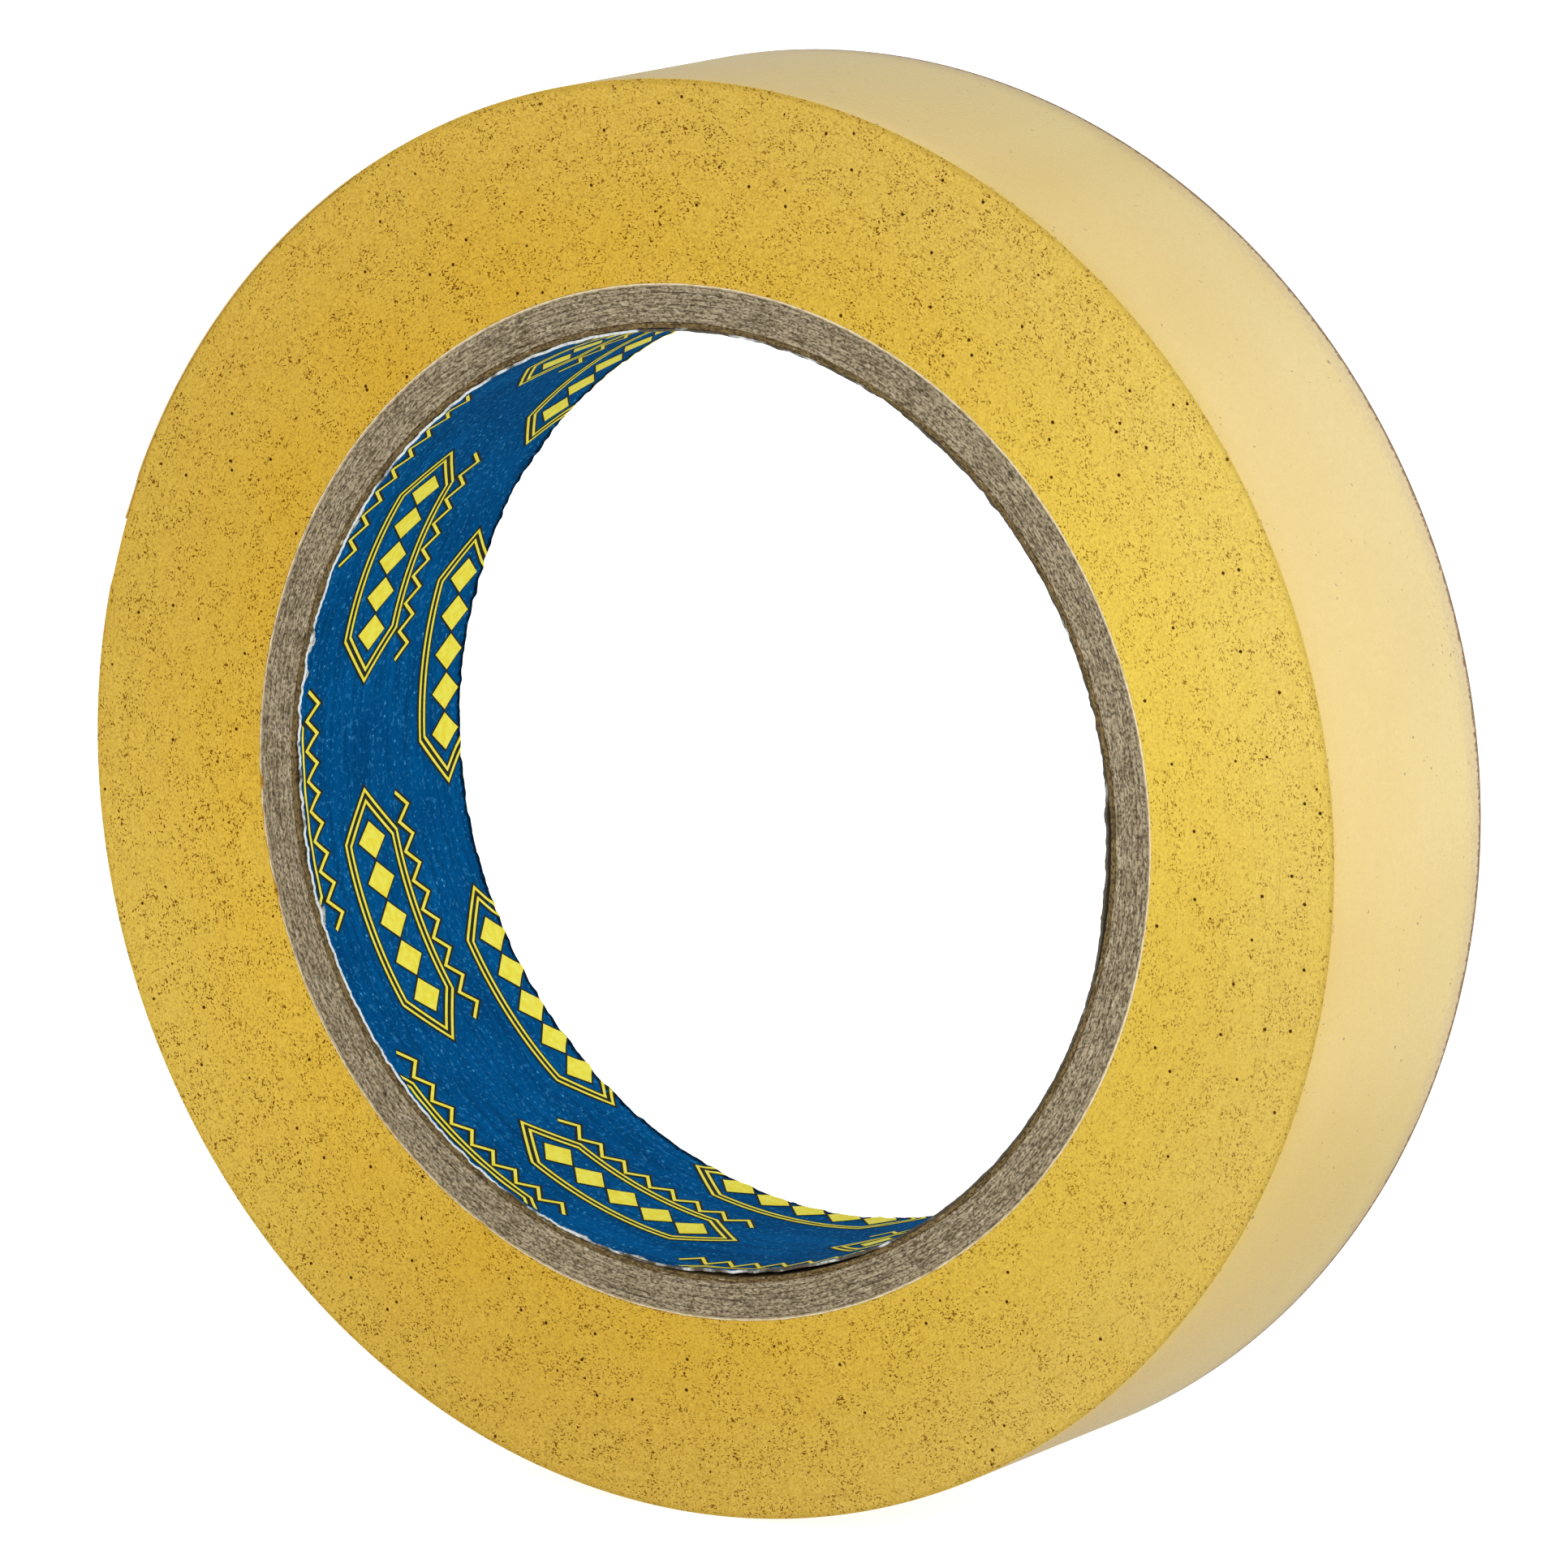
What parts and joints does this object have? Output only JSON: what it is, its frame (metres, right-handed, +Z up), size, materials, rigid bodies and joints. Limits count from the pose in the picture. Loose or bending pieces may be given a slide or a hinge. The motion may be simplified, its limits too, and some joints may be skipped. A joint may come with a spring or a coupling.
{
  "type": "masking tape roll",
  "caption": "Roll of adhesive tape wound on a thick paper core with a patterned paper liner; its free end lies on the outer turn and peels off in a curl.",
  "frame": {"origin": "middle of the core's bore, half way across the roll's width", "axes": "+Y along the bore's axis, from the front face to the back face; +Z up, with the roll standing on its rim"},
  "size_m": [0.116, 0.0242, 0.1161],
  "materials": {
    "printed_paper": "satin",
    "kraft_paper": "matte",
    "grey_board": "matte",
    "white_paper": "matte",
    "wound_tape": "satin",
    "tape_backing": "satin"
  },
  "bodies": {
    "roll": {"printed_liner": "printed_paper", "kraft_ply": "kraft_paper", "board_ply_1": "grey_board", "board_ply_2": "grey_board", "board_ply_3": "grey_board", "board_ply_4": "grey_board", "board_ply_5": "grey_board", "board_ply_6": "grey_board", "white_outer_ply": "white_paper", "wound_tape": "wound_tape"},
    "end_1": {"tape_end_1": "tape_backing"},
    "end_2": {"tape_end_2": "tape_backing"},
    "end_3": {"tape_end_3": "tape_backing"},
    "end_4": {"tape_end_4": "tape_backing"},
    "end_5": {"tape_end_5": "tape_backing"}
  },
  "joints": [
    {"name": "peel_1", "type": "hinge", "parent": "roll", "child": "end_1", "pos_m": [-0.03226, 0, 0.04828], "axis": [0, 1, 0], "range_deg": [0, 30]},
    {"name": "peel_2", "type": "hinge", "parent": "end_1", "child": "end_2", "pos_m": [-0.03829, 0, 0.04366], "axis": [0, 1, 0], "range_deg": [0, 30]},
    {"name": "peel_3", "type": "hinge", "parent": "end_2", "child": "end_3", "pos_m": [-0.04366, 0, 0.03829], "axis": [0, 1, 0], "range_deg": [0, 30]},
    {"name": "peel_4", "type": "hinge", "parent": "end_3", "child": "end_4", "pos_m": [-0.04829, 0, 0.03226], "axis": [0, 1, 0], "range_deg": [0, 30]},
    {"name": "peel_5", "type": "hinge", "parent": "end_4", "child": "end_5", "pos_m": [-0.05209, 0, 0.02569], "axis": [0, 1, 0], "range_deg": [0, 30]}
  ],
  "couplings": [
    {"joint": "peel_2", "follows": "peel_1", "ratio": 1},
    {"joint": "peel_3", "follows": "peel_1", "ratio": 1},
    {"joint": "peel_4", "follows": "peel_1", "ratio": 1},
    {"joint": "peel_5", "follows": "peel_1", "ratio": 1}
  ]
}
